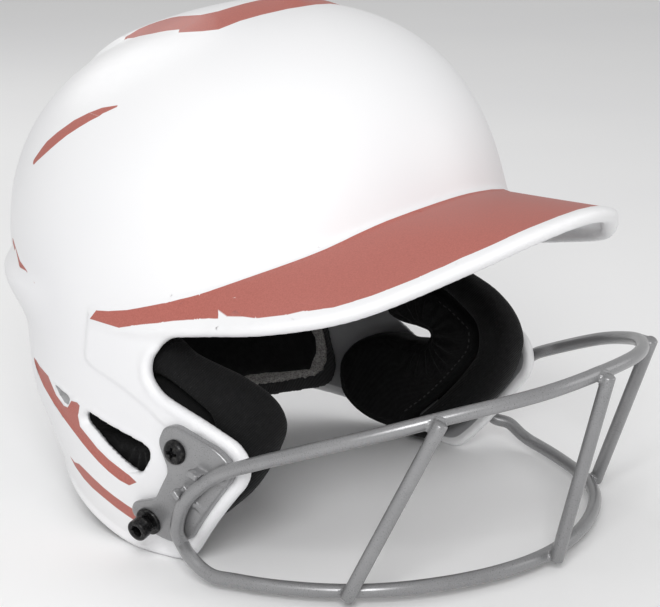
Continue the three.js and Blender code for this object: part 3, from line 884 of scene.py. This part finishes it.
def weld_object(name, loop, low, high, joint):
    """The bead of weld where a bar crosses the loop wire."""
    near = loop[np.linalg.norm(loop - joint, axis=1) < 22]

    def field(x, y, z):
        points = np.stack(np.broadcast_arrays(x, y, z), -1)
        wire = path_distance(points, near, False) - WIRE
        bar = path_distance(points, np.array([low, high]), False) - WIRE
        direction = (high - low) / np.linalg.norm(high - low)
        bar = np.maximum(bar, np.maximum((points - high) @ direction, (low - points) @ direction) + 0.3)
        ball = np.linalg.norm(points - joint, axis=-1) - 6.6
        ripple = 0.12 * np.sin(points[..., 2] * 4.5 + points[..., 0] * 2.0)
        return np.maximum(join(wire, bar, 2.8) + 0.12 + ripple * (np.abs(wire - bar) < 3), ball)

    return field_object(name, field, joint - 9, joint + 9, 0.45)


LOOP = loop_path()
place(tube("mask_loop_rod", LOOP, WIRE, True), "mask", "mask_grey", ["mask_loop_wire"])
for key, (top, foot) in BARS.items():
    low_end, high_end = bar_ends(top, foot)
    path = [low_end + (high_end - low_end) * t for t in np.linspace(0, 1, 12)]
    bar = tube(f"mask_bar_{key}_rod", path, WIRE, False, sides=24, bevel=0.7)
    place(bar, "mask", "mask_grey", [f"mask_bar_{key}"])
    for word, point in (("top", top), ("foot", foot)):
        nearest = LOOP[np.argmin(np.linalg.norm(LOOP - np.array(point), axis=1))]
        along = high_end - low_end
        t = ((nearest - low_end) @ along) / (along @ along)
        joint = (nearest + low_end + along * t) / 2
        place(weld_object(f"mask_weld_{key}_{word}", LOOP, low_end, high_end, joint), "mask", "mask_grey")


# ------------------------------------------------------------------ brackets and fasteners
BRACKET_LINE = filleted(BRACKET, 2.8)


def bracket_object(key, side):
    wire = np.array([wall_seat(y, z, 1, PLATE + WIRE + 3 * GAP) for y, z in WIRE_ON_PLATE])
    wire = curve_points(np.vstack([[WIRE_UPPER[-1]], wire, [WIRE_LOWER[0]]]), np.linspace(0, 1, 60))

    def field(x, y, z):
        base = dome_distance(x, y, z)
        across = outline_distance(y, z, BRACKET_LINE)
        plate = rounded_slab(across, np.abs(base - GAP - PLATE / 2) - PLATE / 2, 0.8)
        height = base - PLATE - GAP
        points = np.stack(np.broadcast_arrays(x, y, z), -1)
        rod = path_distance(points, wire, False)
        for (ya, za), (yb, zb) in CLIPS:
            run = math.hypot(yb - ya, zb - za)
            sy, sz = (yb - ya) / run, (zb - za) / run
            along = (y - ya) * sy + (z - za) * sz
            off = np.abs(-(y - ya) * sz + (z - za) * sy)
            rise = np.where(along < 3.5, 6.4, 7.2 * np.clip((run + 1.5 - along) / run, 0, 1) ** 1.6)
            rib = np.maximum.reduce([off - 1.3 + 0 * height, height - rise, -along - 1.2 + 0 * height,
                                     along - run - 1.5 + 0 * height, -height - 1.0])
            blob = np.sqrt((along + 0.2) ** 2 + off ** 2 + (height - 4.2) ** 2) - 1.8
            rib = join(rib, blob, 0.8)
            rib = np.maximum(rib, WIRE + 0.15 - rod)
            plate = join(plate, rib, 0.9)
        return plate

    made = field_object(f"mask_bracket_{key}_plate", field, (88, -93, -4), (125, -29, 61), 0.6)
    if side < 0:
        mirror(made)
    return made


def mirror(made):
    """Turns a left-hand piece into a right-hand one."""
    made.data.transform(Matrix.Scale(-1, 4, Vector((1, 0, 0))))
    made.data.flip_normals()
    made.data.update()


def fastener(name, seat, side, field, reach, low, high, cell):
    """A piece made round +Z, standing on the side wall at seat."""
    made = field_object(name, field, (-reach, -reach, low), (reach, reach, high), cell)
    normal = wall_normal(*seat, side)
    turn = Vector((0, 0, 1)).rotation_difference(Vector(normal)).to_matrix().to_4x4()
    offset = Matrix.Translation(Vector(STAND * 0.001))
    point = Matrix.Translation(Vector(wall_seat(*seat, side) * 0.001))
    made.data.transform(offset @ point @ turn @ offset.inverted())
    made.data.update()
    return made


def profile_field(half, extra, radius):
    """A turned piece from its (radius, height) outline, with rounded corners, and what is cut into it."""
    outline = filleted(half + [(-r, z) for r, z in half[::-1]], radius, 4)

    def field(x, y, z):
        r = np.hypot(x, y)
        body = np.minimum(outline_distance(r, z, outline), outline_distance(-r, z, outline))
        return extra(body, x, y, z)

    return field


def screw_object(key, side):
    seat = PLATE + 2 * GAP - 0.6
    profile = [(2.5, -8), (2.5, seat), (5.5, seat), (5.5, seat + 1.2), (4.6, seat + 2.6), (2.7, seat + 3.4)]

    def cross(body, x, y, z):
        depth = seat + 3.6 - z
        narrow = 0.62 + 0 * z
        reach = np.clip(3.0 - depth * 0.55, 0.6, 3)
        one = np.maximum(np.abs(x) - reach, np.abs(y) - narrow)
        two = np.maximum(np.abs(y) - reach, np.abs(x) - narrow)
        pit = np.hypot(x, y) - np.clip(1.7 - depth * 0.5, 0.2, 2)
        cut = np.maximum(np.minimum(np.minimum(one, two), pit), depth - 2.6)
        return np.maximum(body, -cut)

    field = profile_field(profile, cross, 0.8)
    return fastener(f"bracket_screw_{key}_head", SCREW_SEAT, side, field, 6, -9, seat + 5, 0.22)


def stud_object(key, side):
    seat = PLATE + 1.6 + 3 * GAP
    top = seat + 7
    profile = [(2.5, -8), (2.5, seat), (3.6, seat), (3.6, seat + 1.4), (4.85, seat + 2.2), (4.85, top)]

    def socket(body, x, y, z):
        turns = [(1, 0), (0.5, 0.8660254), (-0.5, 0.8660254)]
        six = np.maximum.reduce([np.abs(x * c + y * s) for c, s in turns]) - 2.35
        mouth = np.hypot(x, y) - (3.0 - (top - z) * 0.9)
        cut = np.minimum(np.maximum(six, top - 5 - z), np.maximum(mouth, top - 0.8 - z))
        return np.maximum(body, -cut)

    field = profile_field(profile, socket, 0.9)
    return fastener(f"strap_stud_{key}_post", STUD_SEAT, side, field, 6, -9, top + 1, 0.25)


def washer_object(key, side):
    low = PLATE + 2 * GAP - 0.3
    high = low + 1.6
    outline = [(2.9, low), (6.3, low), (6.3, high), (2.9, high)]

    def field(x, y, z):
        return outline_distance(np.hypot(x, y), z, filleted(outline, 0.6, 4))

    return fastener(f"stud_washer_{key}_ring", STUD_SEAT, side, field, 7, low - 1, high + 1, 0.28)


for key, side in SIDES.items():
    place(bracket_object(key, side), "mask", "mask_grey", [f"mask_bracket_{key}"])
    place(screw_object(key, side), "hardware", "hardware_black", [f"bracket_screw_{key}"])
    place(stud_object(key, side), "hardware", "hardware_black", [f"strap_stud_{key}"])
    place(washer_object(key, side), "hardware", "hardware_black", [f"stud_washer_{key}"])


# ------------------------------------------------------------------ padding
PAD_START = SHELL + 1.8
PAD_LAYER = (PAD_START, 9.6)  # of the pads that lie on the shell: depth below its outer skin, and thickness
PAD_CORNER = 10.0
MM_PER_DEGREE = 1.85
PUFF_CELL, PUFF_PRESSURE, PUFF_CAP, PUFF_FRAMES = 4, 4, 3, 20


def pad_body(across, depth, start, thick, radius, crown):
    """A pad lying on the shell from depth start, thicker away from its edge by crown."""
    swell = crown * (1 - np.exp(np.minimum(across, 0) / 9))
    through = np.maximum(start - depth, depth - start - thick + crown - swell)
    return rounded_slab(across, through, radius)


def head_angles(x, y, z):
    """Directions round and up the dome, in degrees."""
    along, up = pitched(y, z)
    level = np.hypot(x, along)
    return np.degrees(np.arctan2(x, -along)), np.degrees(np.arctan2(up, level))


def round_box(u, v, half_u, half_v, radius):
    a, b = np.abs(u) - half_u + radius, np.abs(v) - half_v + radius
    return np.minimum(np.maximum(a, b), 0) + np.hypot(np.maximum(a, 0), np.maximum(b, 0)) - radius


def dome_pad_object(name, centre, half, layer, box, radius=4.0, crown=2.0, ragged=0.0, cell=1.5):
    """A pad on the inside of the dome.

    centre and half are its direction and half-spans round and up the head in degrees, layer its depth
    and thickness in mm, and box the space that holds it.
    """
    wide = MM_PER_DEGREE * math.cos(math.radians(centre[1]))
    start, thick = layer

    def field(x, y, z):
        turn, rise = head_angles(x, y, z)
        off = (turn - centre[0] + 180) % 360 - 180
        up = (rise - centre[1]) * MM_PER_DEGREE
        across = round_box(off * wide, up, half[0] * wide, half[1] * MM_PER_DEGREE, PAD_CORNER)
        if ragged:
            waves = np.sin(turn * 2.1) + np.sin(turn * 4.7 + rise) + 0.7 * np.sin(turn * 9.3 + 1.3)
            across = across + ragged * waves / 2.7
        return pad_body(across, -dome_distance(x, y, z), start, thick, min(radius, thick / 2 - 0.1), crown)

    return field_object(name, field, *box, cell)


def side_field(outline, start, thick, radius, crown, folds):
    line = filleted(outline, 10)

    def field(x, y, z):
        across = outline_distance(y, z, line)
        depth = folds(y, z, across) - dome_distance(x, y, z)
        return pad_body(across, depth, start, thick, radius, crown)

    return field


def puffed(made):
    """Fills the pad like a cushion: a cloth skin under pressure, whose points move at most PUFF_CAP mm."""
    remesh = made.modifiers.new("even", "REMESH")
    remesh.mode = "VOXEL"
    remesh.voxel_size = PUFF_CELL * 0.001
    remesh.use_smooth_shade = True
    settle(made)
    start = drawing_points(made)
    cloth = made.modifiers.new("skin", "CLOTH")
    cloth.settings.quality = 5
    cloth.settings.mass = 0.2
    cloth.settings.use_pressure = True
    cloth.settings.uniform_pressure_force = PUFF_PRESSURE
    cloth.settings.tension_stiffness = 18
    cloth.settings.compression_stiffness = 18
    cloth.settings.bending_stiffness = 0.6
    cloth.settings.effector_weights.gravity = 0
    cloth.point_cache.frame_start = 1
    cloth.point_cache.frame_end = PUFF_FRAMES
    for number in range(1, PUFF_FRAMES + 1):
        bpy.context.scene.frame_set(number)
    settle(made)
    bpy.context.scene.frame_set(1)
    move = drawing_points(made) - start
    length = np.linalg.norm(move, axis=1)[:, None]
    held = start + move * np.minimum(1, PUFF_CAP / np.maximum(length, 1e-6))
    made.data.vertices.foreach_set("co", ((held + STAND) * 0.001).ravel())
    made.data.update()
    finer = made.modifiers.new("finer", "SUBSURF")
    finer.levels = 1
    settle(made)
    made.data.polygons.foreach_set("use_smooth", [True] * len(made.data.polygons))
    return made


def ear_folds(y, z, across):
    """Gathers that run out from the front of the ear hole, and the sewn line inside the edge."""
    turn = np.arctan2(z - 45, y + 35)
    reach = np.hypot(z - 45, y + 35)
    ring = smoothstep(reach, 5, 11) * (1 - smoothstep(reach, 17, 27))
    gathers = 0.8 * np.sin(turn * 17 + 0.8 * np.sin(turn * 5)) * ring
    seam = 1.0 * np.exp(-((across + 3.4) / 0.9) ** 2)
    return gathers + seam


def liner_folds(y, z, across):
    return 0.35 * np.sin(y * 0.21 + z * 0.13) * smoothstep(-across, 4, 12)


SEAM = CUSHION[:9]  # the cushion's front edge, along the roll


def stitching(name, pad, line, side, inset, pitch=3.4, length=2.2, radius=0.38):
    """A run of stitches lying on the pad's inner face, inset from its edge."""
    flat = np.empty(len(pad.data.vertices) * 3)
    pad.data.vertices.foreach_get("co", flat)
    tree = BVHTree.FromPolygons(flat.reshape(-1, 3).tolist(), [tuple(f.vertices) for f in pad.data.polygons])
    line = curve_points([(0, a, b) for a, b in line], np.linspace(0, 1, 240))
    forward = np.gradient(line, axis=0)
    across = np.stack([0 * forward[:, 0], forward[:, 2], -forward[:, 1]], 1)
    line = line + across / np.linalg.norm(across, axis=1)[:, None] * inset
    run = np.concatenate([[0], np.cumsum(np.linalg.norm(np.diff(line, axis=0), axis=1))])
    points, faces = [], []
    for start in np.arange(2, run[-1] - 2, pitch):
        ends = []
        for at in (start, start + length / 2, start + length):
            spot = np.array([np.interp(at, run, line[:, k]) for k in range(3)])
            origin = Vector(((spot + STAND) * 0.001).tolist())
            hit = tree.ray_cast(origin, Vector((side, 0, 0)))[0]
            if hit is None:
                break
            sink = 0.05 if at == start + length / 2 else -0.25
            ends.append(np.array(hit) * 1000 - STAND + np.array([-side, 0, 0]) * sink)
        if len(ends) < 3:
            continue
        first = len(points)
        direction = (ends[2] - ends[0]) / np.linalg.norm(ends[2] - ends[0])
        u = np.cross(direction, [0, 0, 1.0])
        u /= np.linalg.norm(u)
        v = np.cross(direction, u)
        rings = [(0, 0.45), (0.15, 0.85), (0.5, 1), (0.85, 0.85), (1, 0.45)]
        for t, swell in rings:
            centre = ends[0] * (1 - t) ** 2 + ends[1] * 2 * t * (1 - t) + ends[2] * t * t
            for k in range(8):
                a = k * math.pi / 4
                points.append(centre + radius * swell * (math.cos(a) * u + math.sin(a) * v))
        faces += ring_faces(first, len(rings), 8)
    return mesh_object(name, np.array(points), faces)


EAR_BOX = ((52, -99, -11), (112, 19, 92))
for key, side in SIDES.items():
    roll_field = side_field(LINER, PAD_START, 19.8, 8.0, 1.5, liner_folds)
    liner = field_object(f"ear_flap_liner_{key}_pad", roll_field, *EAR_BOX, 1.5)
    cushion_field = side_field(CUSHION, PAD_START, 19.5, 5.5, 3.0, ear_folds)
    cushion = field_object(f"ear_cushion_{key}_pad", cushion_field, *EAR_BOX, 1.2)
    if side < 0:
        mirror(liner)
        mirror(cushion)
    place(liner, "roll", "pad_fabric", [f"ear_flap_liner_{key}"], 0.9)
    place(cushion, "lining", "pad_fabric", [f"ear_cushion_{key}"], 0.7)
    sewn = stitching(f"ear_cushion_{key}_stitches", cushion, SEAM, side, 3.4)
    place(sewn, "thread", "pad_fabric")

face_box, foam_box, back_box = (((-w, y, z), (w, top, top)) for w, y, z, top in (
    (105, 5, 0, 112), (108, 5, -2, 114), (110, 3, -4, 116)))
rear = dome_pad_object(
    "rear_pad_face", (180, -19.3), (56.5, 19.4), (PAD_START + 5.6, 8), face_box, radius=3.8)
place(puffed(rear), "lining", "pad_fabric", ["rear_pad"], 0.7)
foam = dome_pad_object(
    "rear_pad_foam_core", (180, -19), (57.5, 19.2), (PAD_START + 2.4, 3), foam_box,
    radius=1.2, crown=0, ragged=0.8, cell=1.3)
place(foam, "foam", "pad_foam", ["rear_pad_foam"], 1.0)
backing = dome_pad_object(
    "rear_pad_backing", (180, -19.4), (59, 20.6), (PAD_START, 2.2), back_box, radius=1.0, crown=0, cell=1.2)
place(backing, "backing", "pad_fabric", (), 1.0)

forehead_box = ((-85, -120, 120), (85, -40, 215))
forehead = dome_pad_object("forehead_pad_face", (0, 33), (39, 9.6), PAD_LAYER, forehead_box, crown=3)
place(puffed(forehead), "lining", "pad_fabric", ["forehead_pad"], 0.7)
for key, side in SIDES.items():
    side_box = ((-112, -75, 118), (-20, 85, 205)) if side < 0 else ((20, -75, 118), (112, 85, 205))
    pad = dome_pad_object(f"side_pad_{key}_face", (side * 96, 26), (33, 8.6), PAD_LAYER, side_box, crown=3)
    place(puffed(pad), "lining", "pad_fabric", [f"side_pad_{key}"], 0.7)


def crown_field(x, y, z):
    _, rise = head_angles(x, y, z)
    across = (90 - rise) * MM_PER_DEGREE - 24.5 * MM_PER_DEGREE
    channel = 1.4 * np.exp(-((across + 16) / 1.6) ** 2)
    return pad_body(across, -dome_distance(x, y, z) + channel, *PAD_LAYER, 4.5, 3.0)


crown_pad = field_object("crown_pad_face", crown_field, (-55, -20, 165), (55, 90, 215), 1.5)
place(puffed(crown_pad), "lining", "pad_fabric", ["crown_pad"], 0.7)

for name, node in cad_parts.items():
    if name.endswith("tee_nut_right") or name.endswith("tee_nut_left"):
        LOOKS["hardware"].on(node)

# ------------------------------------------------------------------ stage, light and camera
bpy.ops.mesh.primitive_plane_add(size=8, location=(0, 0, 0))
floor = bpy.context.object
floor.name = "floor"
paper = Look("paper", 0.9, specular=0.1)
paper.colour(paper.tone(paper.noise(3, 2), (0.90, 0.90, 0.905), (0.92, 0.92, 0.92)))
paper.on(floor)

world = bpy.data.worlds.new("studio")
world.use_nodes = True
world.node_tree.nodes["Background"].inputs["Color"].default_value = (1, 1, 1, 1)
world.node_tree.nodes["Background"].inputs["Strength"].default_value = 0.55
bpy.context.scene.world = world


def softbox(name, place_at, size, power):
    light = bpy.data.lights.new(name, "AREA")
    light.shape = "DISK"
    light.size = size
    light.energy = power
    made = bpy.data.objects.new(name, light)
    made.location = place_at
    made.rotation_euler = (Vector(MIDDLE) - Vector(place_at)).to_track_quat("-Z", "Y").to_euler()
    bpy.context.collection.objects.link(made)


MIDDLE = (0.0, -0.02, 0.11)
softbox("key", (-1.0, -0.8, 0.9), 0.6, 13)
softbox("fill", (0.95, -0.9, 0.55), 0.8, 2)
softbox("back", (0.2, 1.1, 0.9), 0.8, 3)

lens = bpy.data.cameras.new("camera")
lens.sensor_width = 36
lens.lens = 110.1
camera = bpy.data.objects.new("camera", lens)
camera.location = (-0.6627, -0.5882, 0.3481)
camera.rotation_euler = (Vector((0, -0.004, 0.0948)) - camera.location).to_track_quat("-Z", "Y").to_euler()
bpy.context.collection.objects.link(camera)
bpy.context.scene.camera = camera
bpy.context.scene.view_settings.view_transform = "Standard"
